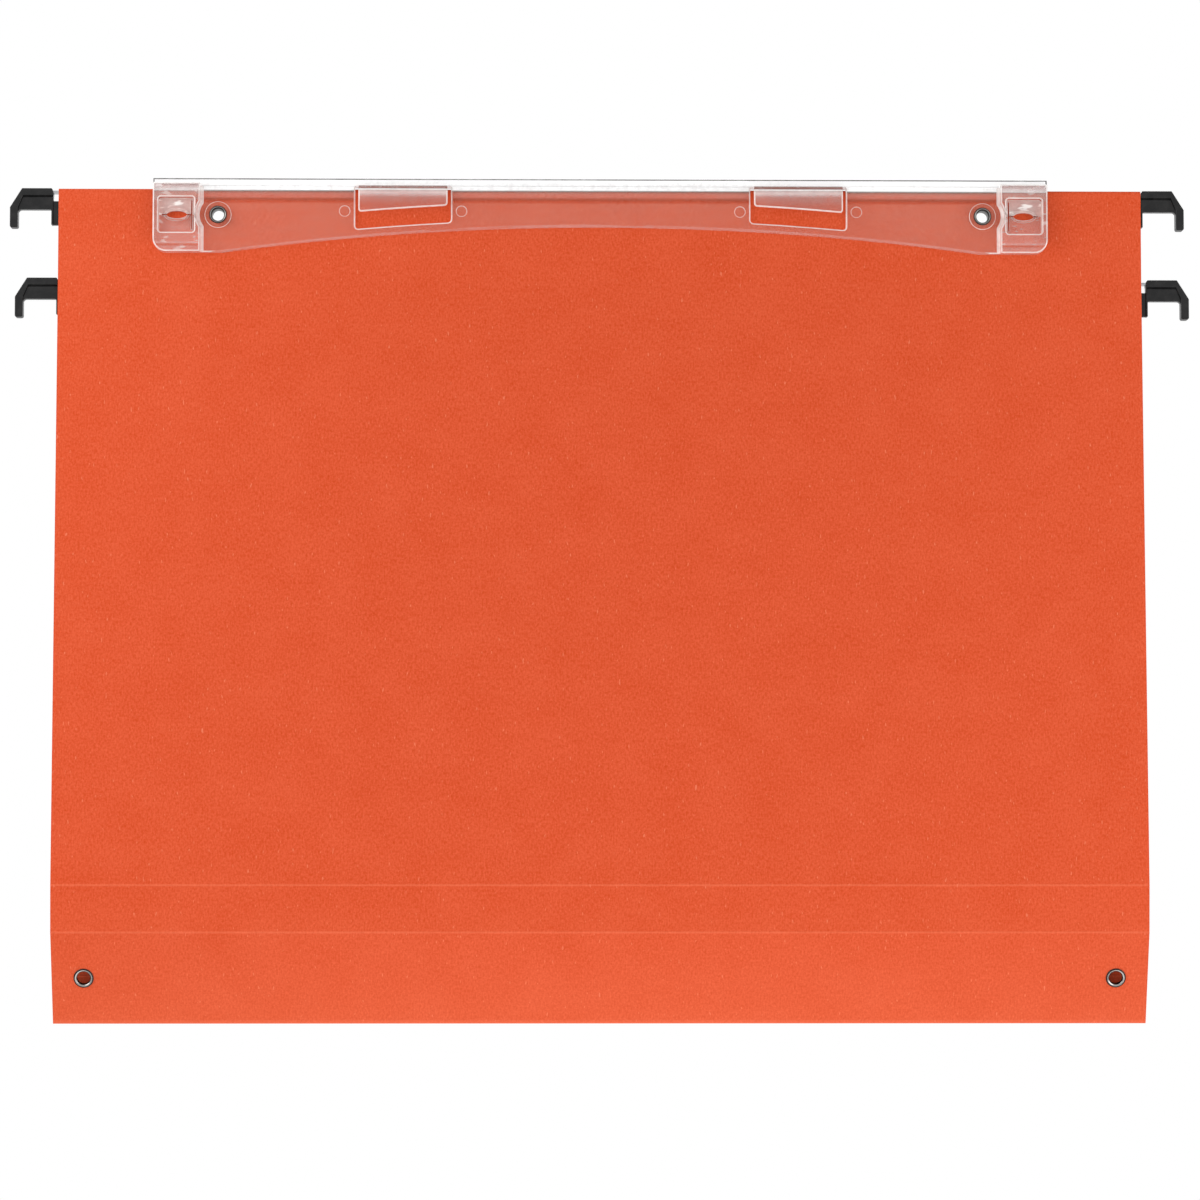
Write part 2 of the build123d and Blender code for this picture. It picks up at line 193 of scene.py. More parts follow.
def brightSteel(name, shade, rough, drawn):  # drawn along X, faint scratches
    made, place = newMaterial(name, "Object")
    lines = place.stretch(*drawn).noise(2400, 2, 0.6)
    marks = place.noise(900, 3, 0.6)
    colour = marks.between(0.3, 0.8).tint(shade + (1,), tuple(0.82 * part for part in shade) + (1,))
    place.shade(
        Base_Color=colour,
        Metallic=1.0,
        Roughness=rough + 0.12 * (lines - 0.5),
        Normal=lines.bump(0.08, 0.02 * mm),
    )
    return made


# height span of the painted light and shade bands, and the colour of the painted glints
clearRange = dict(low=-13.0 * mm, high=9.5 * mm, paintedGlint=(1.0, 0.96, 0.93, 1))


def clearPlastic(name, rough, paintedGlintShare, *levels):  # a level is a height in mm, the haze's shade and its cover; the levels paint bands of light and shade by height
    made, place = newMaterial(name, "Object")
    haze = place.noise(520, 4, 0.6)
    flow = place.stretch(0.12, 1, 1).noise(380, 3, 0.55)
    broad = place.noise(16, 1, 0.5)
    # painted glints: pale streaks of highlight, a whiter and denser haze
    paintedGlint = paintedGlintShare * place.stretch(0.35, 1, 1).noise(620, 2, 0.5).between(0.55, 0.68)
    tone = (0.5 * haze + 0.5 * flow).between(0.3, 0.7)
    height = place.node("ShaderNodeSeparateXYZ", {}, {0: place}, out=2)
    low, high = clearRange["low"], clearRange["high"]
    share = height.node("ShaderNodeMapRange", {}, {"Value": height, "From Min": low, "From Max": high})
    spread = levels if len(levels) > 1 else levels * 2
    stops = [((level * mm - low) / (high - low), shade + (cover,)) for level, shade, cover in spread]
    # the ramp paints the haze's bands of light and shade by height
    shades = share.node("ShaderNodeValToRGB", {"stops": stops}, {0: share})
    covers = Wire(shades.tree, shades.socket.node.outputs["Alpha"])
    place.shade(
        Base_Color=paintedGlint.tint(shades, clearRange["paintedGlint"]),
        Roughness=rough + 0.1 * (haze - 0.5),
        Alpha=covers * (0.55 + 0.4 * tone + 0.5 * broad) + paintedGlint,
        IOR=1.49,
        Normal=flow.bump(0.04, 0.04 * mm),
    )
    return made


def plainPaper(name, shade, rough, glow):  # fine wove paper or board, light passes a thin one
    made, place = newMaterial(name, "Object")
    grain = place.noise(2200, 4, 0.6)
    clouds = place.noise(240, 3, 0.6)
    tone = (0.5 * grain + 0.5 * clouds).between(0.3, 0.7)
    colour = tone.tint(tuple(0.9 * part for part in shade) + (1,), shade + (1,))
    place.shade(
        Base_Color=colour,
        Roughness=rough,
        Subsurface_Weight=glow,
        Subsurface_Radius=(1, 1, 1),
        Subsurface_Scale=2 * mm,
        Normal=grain.bump(0.2, 0.04 * mm),
    )
    return made


finishes = {
    "orangeCard": orangeCard(),
    "blackPlastic": blackPlastic("blackPlastic", 0.29),
    # painted shade: a dull black with almost no gloss, for the hooks' step and the web under the rim
    "plasticShade": blackPlastic("plasticShade", 0.04),
    "barSteel": brightSteel("barSteel", (0.46, 0.46, 0.47), 0.3, (0.05, 1, 1)),
    "eyeletNickel": brightSteel("eyeletNickel", (0.36, 0.34, 0.325), 0.22, (1, 1, 1)),
    # painted shade: near-black steel for the eyelets' bore and outer roll
    "eyeletShade": brightSteel("eyeletShade", (0.035, 0.028, 0.026), 0.35, (1, 1, 1)),
    "clearPlate": clearPlastic(
        "clearPlate",
        0.3,
        0.0,
        (1.7, (0.66, 0.45, 0.37), 0.1),  # painted light and shade: pale and dark bands of haze under the tray
        (2.4, (0.2, 0.15, 0.14), 0.07),
        (3.2, (0.13, 0.11, 0.08), 0.19),
        (3.9, (0.78, 0.64, 0.58), 0.1),
        (4.8, (0.78, 0.64, 0.58), 0.12),
        (5.3, (0.3, 0.28, 0.24), 0.24),
        (5.55, (0.35, 0.33, 0.3), 0.4),
        (5.75, (0.97, 0.97, 0.97), 0.9),
    ),
    # painted highlights: eased edges take a paler, denser haze, the plate's lip a fainter one
    "clearEdge": clearPlastic("clearEdge", 0.25, 0.0, (0, (0.95, 0.9, 0.87), 0.62)),
    "clearLip": clearPlastic("clearLip", 0.25, 0.0, (0, (0.88, 0.82, 0.8), 0.16)),
    # painted shade: the tray's top rim is a near-black line
    "clearRim": clearPlastic("clearRim", 0.25, 0.0, (0, (0.06, 0.05, 0.05), 0.9)),
    "clearTray": clearPlastic("clearTray", 0.2, 0.0, (0, (0.95, 0.95, 0.95), 0.04)),
    # painted light: the tray's front wall is a near-opaque white, standing in for the lit insert behind it
    "clearFront": clearPlastic("clearFront", 0.2, 0.0, (0, (0.98, 0.98, 0.98), 0.98)),
    # painted light and shade: the blocks' haze in pale and dark bands by height, with painted glints
    "clearBlock": clearPlastic(
        "clearBlock",
        0.25,
        0.25,
        (-11.3, (0.75, 0.72, 0.7), 0.2),
        (-10.8, (0.45, 0.2, 0.15), 0.2),
        (-10.2, (0.85, 0.8, 0.78), 0.3),
        (-9.6, (0.95, 0.82, 0.77), 0.16),
        (2.3, (0.95, 0.82, 0.77), 0.16),
        (3.0, (0.56, 0.52, 0.48), 0.38),
        (4.2, (0.56, 0.52, 0.48), 0.34),
        (5.0, (0.8, 0.72, 0.7), 0.22),
        (5.9, (0.45, 0.22, 0.2), 0.35),
        (7.6, (0.5, 0.3, 0.28), 0.45),
    ),
    # painted highlight: the upper jaws a pale, denser haze with painted glints
    "clearJaw": clearPlastic("clearJaw", 0.2, 0.5, (0, (0.97, 0.9, 0.86), 0.4)),
    # painted shade: the slit walls dark
    "clearSlit": clearPlastic("clearSlit", 0.3, 0.0, (0, (0.1, 0.04, 0.025), 0.6)),
    # painted light: the tongue's haze paler towards the top
    "clearTongue": clearPlastic(
        "clearTongue",
        0.25,
        0.0,
        (1.0, (0.44, 0.4, 0.37), 0.13),
        (3.4, (0.55, 0.52, 0.5), 0.2),
        (4.6, (0.9, 0.86, 0.84), 0.4),
    ),
    # painted highlight over the bend, with a painted dark line at its top
    "clearBend": clearPlastic(
        "clearBend",
        0.2,
        0.0,
        (4.6, (0.9, 0.86, 0.84), 0.4),
        (5.0, (0.97, 0.95, 0.93), 0.7),
        (5.8, (0.97, 0.95, 0.93), 0.7),
        (5.95, (0.25, 0.09, 0.07), 0.9),
    ),
    "labelPaper": plainPaper("labelPaper", (0.9, 0.9, 0.89), 0.7, 1.0),
    "stiffenerBoard": plainPaper("stiffenerBoard", (0.40, 0.37, 0.33), 0.85, 0.0),
}
print("finishes made:", ", ".join(finishes))


def addPiece(name, bm, slot, *looks):  # a finished bmesh becomes a piece
    mesh = bpy.data.meshes.new(name)
    bm.to_mesh(mesh)
    bm.free()
    for look in looks:
        mesh.materials.append(finishes[look])
    piece = bpy.data.objects.new(name, mesh)
    bpy.context.scene.collection.objects.link(piece)
    return piece


sheet = dict(
    thickness=0.36 * mm,  # a hair thinner than the solid, so that plates lie on it cleanly
    solid=0.4 * mm,
    hemDepth=27.0 * mm,
    pocketDepth=11.4 * mm,
    glueStart=15.5 * mm,
    hemPlay=0.15 * mm,
    glueFilm=0.02 * mm,
    hemRadius=0.7 * mm,
    bendRadius=2.5 * mm,
    noseRadius=0.3 * mm,
    noseLift=0.21 * mm,
    blendReach=1.0 * mm,
    noseReach=1.2 * mm,
    beadHeight=0.1 * mm,
    beadReach=0.4 * mm,
    baseSeam=5.0 * mm,
    arcSteps=5,
    holeSegments=32,
    holeMargin=3.2 * mm,
    holeInset=0.6 * mm,
    barPrint=0.015 * mm,
    wearReach=0.35 * mm,
    noseWear=0.9 * mm,
    footSheenReach=36.0 * mm,  # painted sheen: the foot of the folder is painted paler towards the bottom fold
    footSheenShare=0.28,
    labelHole=2.1 * mm,
    baseHole=2.25 * mm,
)
cardLow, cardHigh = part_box("rear_panel")
cardLeft = cardLow.x
cardWidth = cardHigh.x - cardLow.x


def flat(place):  # the Y and Z of a point
    return Vector((place[1], place[2]))


panelLow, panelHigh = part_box("front_panel")
foldFrontOuter = Vector((panelLow.y, panelLow.z)) + Vector((1, 1)) * sheet["solid"] / 2
foldFrontInner = flat(joints["base_swing"]["pos_m"])
foldBottom = flat(joints["bottom_fold"]["pos_m"])
foldRearOuter = flat(joints["rear_outer_crease"]["pos_m"])
middleRear = (foldBottom + foldRearOuter) / 2
baseDown = (foldBottom - foldFrontInner).normalized()
baseInward = Vector((-baseDown.y, baseDown.x))
baseStart = foldFrontInner + baseDown * sheet["baseSeam"]


def roundCorner(before, corner, after, radius):  # points of the arc that rounds a corner
    back = (before - corner).normalized()
    ahead = (after - corner).normalized()
    half = back.angle(ahead) / 2
    centre = corner + (back + ahead).normalized() * (radius / sin(half))
    first = corner + back * (radius / tan(half)) - centre
    last = corner + ahead * (radius / tan(half)) - centre
    turn = first.angle_signed(last)
    steps = sheet["arcSteps"]
    return [centre + turned(first, turn * step / steps) for step in range(steps + 1)]


def turned(arm, angle):  # a flat arm turned the way angle_signed counts
    return Vector((
        arm.x * cos(angle) + arm.y * sin(angle),
        arm.y * cos(angle) - arm.x * sin(angle),
    ))


def creaseRows(before, fold, after, outward):  # close rows over a scored fold, with its raised bead
    back = (before - fold).normalized()
    ahead = (after - fold).normalized()
    rows = []
    for share in (-1, -0.7, -0.4, -0.2, 0, 0.2, 0.4, 0.7, 1):
        away = share * sheet["blendReach"]
        spot = fold + (back if share < 0 else ahead) * abs(away)
        if abs(away) < sheet["beadReach"]:
            spot = spot + outward * sheet["beadHeight"] * (0.5 + 0.5 * cos(pi * away / sheet["beadReach"]))
        rows.append(spot)
    return rows


def hemPath(bar, top, inward):  # flap end, round the bar's pocket, to the hem line, as a middle line
    half = sheet["solid"] / 2
    barLow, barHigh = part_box(bar)
    near, far = (barLow.y, barHigh.y) if inward > 0 else (barHigh.y, barLow.y)
    panel = near - inward * (sheet["hemPlay"] + half)
    pouch = far + inward * (sheet["hemPlay"] + half)
    flap = panel + inward * (sheet["solid"] + sheet["glueFilm"])
    flapEnd = Vector((flap, top - sheet["hemDepth"]))
    glue = Vector((flap, top - sheet["glueStart"]))
    pocket = Vector((pouch, top - sheet["pocketDepth"]))
    inner = Vector((pouch, top - half))
    outer = Vector((panel, top - half))
    hemLine = Vector((panel, top - sheet["hemDepth"]))
    path = [flapEnd]
    path += roundCorner(flapEnd, glue, pocket, sheet["bendRadius"])
    path += roundCorner(glue, pocket, inner, sheet["bendRadius"])
    path += roundCorner(pocket, inner, outer, sheet["hemRadius"])
    path += roundCorner(inner, outer, hemLine, sheet["hemRadius"])
    printReach = sheet["blendReach"] / 2  # the bar's lower edge prints through as a faint line
    path.append(Vector((panel - inward * sheet["barPrint"], barLow.z + printReach)))
    path.append(Vector((panel, barLow.z - printReach)))
    return path + [hemLine]


def nosePath():  # the bottom fold: down the base, round a small nose, up the rear flank
    touch = foldBottom - baseDown * sheet["noseLift"]
    centre = touch + baseInward * sheet["noseRadius"]
    arm = touch - centre
    sweep = baseDown.angle_signed(foldRearOuter - foldBottom)
    sweep = sweep + 2 * pi if sweep > 0 else sweep
    steps = 2 * sheet["arcSteps"]
    return [centre + turned(arm, sweep * step / steps) for step in range(steps + 1)]


frontPath = hemPath("front_bar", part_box("front_panel")[1].z, 1)
frontPath += creaseRows(frontPath[-1], foldFrontOuter, foldFrontInner, Vector((-1, 0)))
frontPath += creaseRows(foldFrontOuter, foldFrontInner, foldBottom, Vector((-1, 0))) + [baseStart]
noseTop = foldBottom - baseDown * sheet["noseReach"]
noseBack = foldBottom + (foldRearOuter - foldBottom).normalized() * 3 * sheet["noseReach"]
nose = nosePath()
basePath = [baseStart, noseTop] + nose + [noseBack, middleRear]
rearHem = hemPath("rear_bar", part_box("rear_panel")[1].z, -1)
rearPath = [middleRear]
rearPath += creaseRows(foldBottom, foldRearOuter, rearHem[-1], Vector((1, 0))) + rearHem[::-1]


wearAndSheenFolds = [
    (foldFrontOuter, sheet["wearReach"], 1.0),
    (foldFrontInner, sheet["wearReach"], 1.0),
    (foldBottom, sheet["noseWear"], 1.0),
    # painted sheen over the foot, fading up from the bottom fold
    (foldBottom, sheet["footSheenReach"], sheet["footSheenShare"]),
    (foldRearOuter, sheet["wearReach"], 1.0),
]


def sweepCard(path, start):  # a strip of the sheet; each vertex keeps its length along it, and its fold wear and painted sheen
    bm = bmesh.new()
    along = bm.verts.layers.float.new("along")
    wear = bm.verts.layers.float.new("wear")
    row = [bm.verts.new((cardLeft, spot.x, spot.y)) for spot in path]
    length = start
    for vert, last in zip(row, [row[0]] + row):
        length += (vert.co - last.co).length
        vert[along] = length
        spot = flat(vert.co)
        vert[wear] = max(most * max(1 - (spot - fold).length / reach, 0) for fold, reach, most in wearAndSheenFolds)
    edges = [bm.edges.new(pair) for pair in zip(row, row[1:])]
    swept = bmesh.ops.extrude_edge_only(bm, edges=edges)["geom"]
    moved = [part for part in swept if isinstance(part, bmesh.types.BMVert)]
    bmesh.ops.translate(bm, verts=moved, vec=(cardWidth, 0, 0))
    return bm, length


def scoreSheet(bm, place, way):  # two cuts across the sheet, on either side of a place
    for side in (-1, 1):
        bmesh.ops.bisect_plane(
            bm,
            geom=bm.verts[:] + bm.edges[:] + bm.faces[:],
            dist=1e-6,
            plane_co=place + way * side * sheet["holeMargin"],
            plane_no=way,
        )


def punchHole(bm, centre, across, radius):  # the square round a place gets a round hole
    along = bm.verts.layers.float["along"]
    face = min(bm.faces, key=lambda one: (one.calc_center_median() - centre).length)
    facing = Vector((1, 0, 0)).cross(across)
    middle = centre + facing * (face.verts[0].co - centre).dot(facing)
    low = min(face.verts, key=lambda vert: (vert.co - middle).dot(across))
    high = max(face.verts, key=lambda vert: (vert.co - middle).dot(across))
    way = 1 if high[along] > low[along] else -1
    level = low[along] + way * (middle - low.co).dot(across)
    bmesh.ops.inset_individual(bm, faces=[face], thickness=sheet["holeInset"], use_even_offset=True)
    square = face.edges[:]
    bmesh.ops.delete(bm, geom=[face], context="FACES_ONLY")
    bmesh.ops.subdivide_edges(bm, edges=square, cuts=sheet["holeSegments"] // 4 - 1)
    for vert in bm.verts:
        arm = vert.co - middle
        if not vert.is_boundary or abs(arm.dot(facing)) > sheet["glueFilm"] or arm.length > 2 * radius:
            continue
        vert.co = middle + (vert.co - middle).normalized() * radius
        vert[along] = level + way * (vert.co - middle).dot(across)


def finishCard(name, bm):  # map across and along the sheet, then give it its thickness
    along = bm.verts.layers.float["along"]
    chart = bm.loops.layers.uv.new("sheet")
    bmesh.ops.recalc_face_normals(bm, faces=bm.faces[:])
    for face in bm.faces:
        for loop in face.loops:
            loop[chart].uv = (loop.vert.co.x, loop.vert[along])
    bm.verts.layers.float.remove(along)
    piece = addPiece(name, bm, "orange_card", "orangeCard")
    wall = piece.modifiers.new("thickness", "SOLIDIFY")
    wall.thickness = sheet["thickness"]
    wall.offset = 0
    wall.use_even_offset = True
    return piece


def boxCentre(node):
    low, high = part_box(node)
    return (low + high) / 2


upward = Vector((0, 0, 1))
sideways = Vector((1, 0, 0))
baseAcross = Vector((0, -baseDown.x, -baseDown.y))
labelEyelets = ["label_left_eyelet", "label_right_eyelet"]
baseEyelets = ["base_left_eyelet", "base_right_eyelet"]

frontBm, sheetLength = sweepCard(frontPath, 0)
for node in labelEyelets:
    scoreSheet(frontBm, boxCentre(node), sideways)
scoreSheet(frontBm, boxCentre(labelEyelets[0]), upward)
for node in labelEyelets:
    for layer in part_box("front_bar"):  # the hem's front layer, then its pouch
        place = boxCentre(node)
        place.y = layer.y
        punchHole(frontBm, place, upward, sheet["labelHole"])
baseBm, sheetLength = sweepCard(basePath, sheetLength)
for node in baseEyelets:
    scoreSheet(baseBm, boxCentre(node), sideways)
scoreSheet(baseBm, boxCentre(baseEyelets[0]), baseAcross)
for node in baseEyelets:
    punchHole(baseBm, boxCentre(node), baseAcross, sheet["baseHole"])
rearBm, sheetLength = sweepCard(rearPath, sheetLength)
print("card sheet unfolds to", round(sheetLength / mm, 1), "mm")


def bend(piece, first, second, start, end):
    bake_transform(piece, first, second, start=(0, start.x, start.y), end=(0, end.x, end.y))


def stepFrom(fold, target, reach):
    return fold + (target - fold).normalized() * reach


reach = sheet["blendReach"]
frontCard = finishCard("front_card", frontBm)
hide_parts("front_panel", "front_flank")
bend(
    frontCard,
    "front_panel",
    "base",
    stepFrom(foldFrontInner, foldFrontOuter, reach),
    stepFrom(foldFrontInner, foldBottom, reach),
)
baseCard = finishCard("base_card", baseBm)
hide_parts("base_strip")
bend(baseCard, "base", "rear_flank", nose[0], nose[-1])  # the round of the nose alone turns
rearCard = finishCard("rear_card", rearBm)
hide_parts("rear_flank", "rear_panel")
bend(
    rearCard,
    "rear_flank",
    "rear_panel",
    stepFrom(foldRearOuter, foldBottom, reach),
    stepFrom(foldRearOuter, rearHem[-1], reach),
)
print("card pieces made")


moulding = dict(sharp=radians(40), flat=radians(0.05), weld=0.001 * mm, segments=3)


def copyMoulding(node, level=None):  # the node's own shape as whole faces, parted at a given level
    bm = bmesh.new()
    bm.from_mesh(nodes[node].data)
    bmesh.ops.remove_doubles(bm, verts=bm.verts[:], dist=moulding["weld"])
    if level is not None:
        whole = bm.verts[:] + bm.edges[:] + bm.faces[:]
        parted = bmesh.ops.bisect_plane(
            bm, geom=whole, dist=moulding["weld"], plane_co=(0, 0, level), plane_no=(0, 0, 1)
        )
        for part in parted["geom_cut"]:
            if isinstance(part, bmesh.types.BMEdge):
                part.seam = True
    bmesh.ops.dissolve_limit(
        bm, angle_limit=moulding["flat"], verts=bm.verts[:], edges=bm.edges[:], delimit={"SEAM"}
    )
    return bm


def easeEdges(bm, edges, width):  # rounds the sharp ones of some edges and gives the new faces
    sharp = [edge for edge in edges if edge.calc_face_angle(0) > moulding["sharp"]]
    return bmesh.ops.bevel(
        bm,
        geom=sharp,
        offset=width,
        affect="EDGES",
        segments=moulding["segments"],
        profile=0.5,
        material=-1,
    )["faces"]


hook = dict(
    edgeRound=0.2 * mm,
    web=2.6 * mm,
    rim=3.6 * mm,
    rimHeight=2.1 * mm,
    # height of the painted shade strip under the rim
    shadeDrop=0.5 * mm,
    touch=0.01 * mm,
)


def addHook(node):  # the rim stands proud; its step and a strip of the web under it get a painted shade
    low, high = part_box(node)
    foot = high.z - hook["rimHeight"]
    shadeFoot = foot - hook["shadeDrop"]
    bm = copyMoulding(node, shadeFoot)
    easeEdges(bm, bm.edges, hook["edgeRound"])
    # painted shade on the step and on the web strip under the rim
    for face in bm.faces:
        spot = face.calc_center_median()
        proud = abs(spot.y - (low.y + high.y) / 2) - hook["web"] / 2
        onStep = hook["touch"] < proud < (hook["rim"] - hook["web"]) / 2 - hook["edgeRound"]
        onWeb = abs(proud) < hook["touch"] and shadeFoot < spot.z < foot
        face.material_index = int(onStep or onWeb)
    name = node.replace("hook", "plastic_hook")
    piece = addPiece(name, bm, "black_plastic", "blackPlastic", "plasticShade")
    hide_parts(node)
    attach(piece, node.split("_")[0] + "_bar")


for node in nodes:
    if node.endswith("_hook"):
        addHook(node)
print("hooks made")

holder = dict(
    edgeRound=0.06 * mm,
    borderRound=0.42 * mm,
    cornerRound=0.9 * mm,
    ringRound=0.14 * mm,
    flare=1.0 * mm,
    plateThickness=1.2 * mm,
    wallDepth=0.75 * mm,
    rimDrop=0.9 * mm,
    blockWidth=13.8 * mm,
    blockThickness=3.2 * mm,
    windowOffset=57.9 * mm,
    windowReach=14.6 * mm,
    jawDepth=1.7 * mm,
    jawFoot=3.45 * mm,
    flareReach=2.76 * mm,
    lens=(3.0 * mm, 1.2 * mm),
    slant=(0.05, 0.97),
    square=0.99,  # how squarely a front face or a corner's edge runs along Y
    inward=0.3,
)
holderLow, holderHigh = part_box("label_holder")
holderMiddle = boxCentre("label_holder").x
blockStart = (holderHigh.x - holderLow.x) / 2 - holder["blockWidth"]
socketLevel = boxCentre("label_left_eyelet").z
cardFace = min(spot.x for spot in frontPath if spot.y > 0) - sheet["solid"] / 2
cardTop = panelHigh.z
plateFront = cardFace - holder["plateThickness"]
blockFront = cardFace - holder["blockThickness"]


def frontAndWall(edge):  # the face that looks to the front, then the other
    return sorted(edge.link_faces, key=lambda face: face.normal.y)


def looksAhead(front):
    return front.normal.y < -holder["square"]


def isDeep(wall):
    depths = [vert.co.y for vert in wall.verts]
    return max(depths) - min(depths) > holder["wallDepth"]


def isCorner(edge):  # a corner of a window or a tongue
    run = edge.verts[1].co - edge.verts[0].co
    spot = edge.verts[0].co
    away = abs(abs(spot.x - holderMiddle) - holder["windowOffset"])
    straight = abs(run.y) > holder["square"] * run.length
    return straight and away < holder["windowReach"] and spot.z < cardTop / 2


def isFlare(edge):  # the inner foot of a block, where it runs out into the plate
    front, wall = frontAndWall(edge)
    middle = (edge.verts[0].co + edge.verts[1].co) / 2
    side = 1 if middle.x > holderMiddle else -1
    inside = abs(middle.x - holderMiddle) < blockStart + holder["flareReach"]
    low = abs(middle.y - plateFront) < holder["edgeRound"] and not edge.is_convex
    looksInward = wall.normal.x * side < -holder["inward"]
    return inside and low and isDeep(wall) and looksAhead(front) and looksInward


def isBorder(edge):  # the front outline of a plate, block, pocket, window or tongue
    front, wall = frontAndWall(edge)
    middle = (edge.verts[0].co + edge.verts[1].co) / 2
    inBlock = abs(middle.x - holderMiddle) > blockStart and middle.z < cardTop
    foremost = blockFront if inBlock else plateFront
    return middle.y < foremost + holder["edgeRound"] and looksAhead(front) and isDeep(wall)


def isRing(edge):  # the low step round an eyelet or a moulding mark
    front, wall = frontAndWall(edge)
    middle = (edge.verts[0].co + edge.verts[1].co) / 2
    onPlate = abs(middle.x - holderMiddle) < blockStart and middle.y < plateFront + holder["edgeRound"]
    low = not isDeep(wall) and abs(wall.normal.y) < holder["slant"][0]
    return onPlate and low and edge.is_convex and looksAhead(front) and middle.z < cardTop


holderLooks = [
    "clearPlate",
    "clearEdge",
    "clearLip",
    "clearRim",
    "clearTray",
    "clearFront",
    "clearBlock",
    "clearJaw",
    "clearSlit",
    "clearTongue",
    "clearBend",
]


def lookOf(face):  # the finish of a face that no easing has made: painted highlights on the upper jaws, lens walls and edges, painted shade in the slits, painted light on the tray's front
    leastSlant, mostSlant = holder["slant"]
    spot = face.calc_center_median()
    away = abs(spot.x - holderMiddle)
    slanted = leastSlant < abs(face.normal.y) < mostSlant
    inBlock = away > blockStart
    inFloor = inBlock and spot.y > cardFace - holder["jawDepth"]
    if inBlock and face.normal.y < -mostSlant:
        return "clearJaw" if inFloor and spot.z > socketLevel else "clearBlock"
    if spot.y < plateFront - holder["borderRound"] and not inBlock:
        return "clearBend" if slanted and face.normal.z > leastSlant else "clearTongue"
    if spot.z > cardTop:
        return "clearFront" if face.normal.y < -mostSlant else "clearTray"
    if inFloor and abs(face.normal.y) < leastSlant and spot.z > holderLow.z + holder["jawFoot"]:
        toLens = abs(away - blockStart - holder["blockWidth"] / 2) < holder["lens"][0]
        return "clearEdge" if toLens and abs(spot.z - socketLevel) < holder["lens"][1] else "clearSlit"
    if slanted or abs(face.normal.x) > mostSlant:
        return "clearEdge" if inBlock or face.normal.z > -leastSlant else "clearLip"
    return "clearPlate"


def easedLook(face, plain):  # painted shade makes the tray's top rim a dark line and painted light makes its front white; the rest is clear
    spot = face.calc_center_median()
    if spot.z < cardTop or spot.y < blockFront + holder["borderRound"]:
        return plain
    if spot.z > holderHigh.z - holder["rimDrop"]:
        return "clearRim"
    return "clearFront" if spot.y < plateFront + holder["borderRound"] else "clearTray"


holderBm = copyMoulding("label_holder", socketLevel)
easeEdges(holderBm, [edge for edge in holderBm.edges if isCorner(edge)], holder["cornerRound"])
holderBm.normal_update()
flares = easeEdges(holderBm, [edge for edge in holderBm.edges if isFlare(edge)], holder["flare"])
# painted highlight along the flares
for face in flares:
    face.material_index = holderLooks.index("clearEdge")
holderBm.normal_update()
rings = easeEdges(holderBm, [edge for edge in holderBm.edges if isRing(edge)], holder["ringRound"])
# painted highlight round the rings
for face in rings:
    face.material_index = holderLooks.index("clearEdge")
holderBm.normal_update()
borders = easeEdges(holderBm, [edge for edge in holderBm.edges if isBorder(edge)], holder["borderRound"])
# painted highlights along the borders
for face in borders:
    face.material_index = holderLooks.index(easedLook(face, "clearEdge"))
# eased edges take painted highlights, stronger in the blocks than on the plate
for face in easeEdges(holderBm, holderBm.edges, holder["edgeRound"]):
    inBlock = abs(face.calc_center_median().x - holderMiddle) > blockStart
    face.material_index = holderLooks.index(easedLook(face, "clearEdge" if inBlock else "clearLip"))
holderBm.normal_update()
for face in holderBm.faces:
    if face.material_index == 0:
        face.material_index = holderLooks.index(lookOf(face))
holderPiece = addPiece("clear_label_holder", holderBm, "clear_plastic", *holderLooks)
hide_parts("label_holder")
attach(holderPiece, "front_panel")
print("label holder made")

eyelet = dict(
    wall=0.3 * mm,
    flange=0.35 * mm,
    labelLength=5.5 * mm,
    labelLip=0.85 * mm,
    baseLength=1.9 * mm,
    baseLip=1.0 * mm,
    # widths of the painted shade at the bore and at the rim
    boreShade=0.3 * mm,
    rimShade=0.28 * mm,
    steps=48,
)


def addEyelet(node, body, front, length, lip):  # rolled flange, barrel and set flange, spun round the axis
    low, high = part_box(node)
    rim = (high.x - low.x) / 2
    bore = rim - lip
    barrel = bore + eyelet["wall"]
    middle = (bore + rim) / 2
    roll = [  # the rolled lip from bore to rim, each with its depth as a share of the flange
        (bore, 2.2),
        (bore + 0.05 * mm, 1.3),
        (bore + 0.18 * mm, 0.6),
        (middle - 0.05 * mm, 0.15),
        (middle + 0.12 * mm, 0.0),
        (rim - 0.16 * mm, 0.15),
        (rim - 0.04 * mm, 0.45),
        (rim, 0.8),
        (rim - 0.03 * mm, 1.0),
        (barrel, 1.0),
    ]
    face = boxCentre(node) + front * length / 2
    profile = [(radius, share * eyelet["flange"]) for radius, share in roll]
    profile += [(radius, length - share * eyelet["flange"]) for radius, share in roll[::-1]]
    bm = bmesh.new()
    ring = [bm.verts.new(face + sideways * radius - front * depth) for radius, depth in profile]
    loop = [bm.edges.new(pair) for pair in zip(ring, ring[1:] + ring[:1])]
    bmesh.ops.spin(
        bm, geom=ring + loop, cent=face, axis=front, angle=2 * pi, steps=eyelet["steps"], use_merge=True
    )
    bmesh.ops.remove_doubles(bm, verts=bm.verts[:], dist=moulding["weld"])
    bmesh.ops.recalc_face_normals(bm, faces=bm.faces[:])
    for part in bm.faces:
        part.smooth = True
        arm = part.calc_center_median() - face
        reach = (arm - front * arm.dot(front)).length
        # painted shade: faces near the bore and at the outer roll take the near-black steel
        part.material_index = int(reach < bore + eyelet["boreShade"] or reach > rim - eyelet["rimShade"])
    name = node.replace("eyelet", "steel_eyelet")
    piece = addPiece(name, bm, "eyelet_steel", "eyeletNickel", "eyeletShade")
    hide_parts(node)
    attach(piece, body)


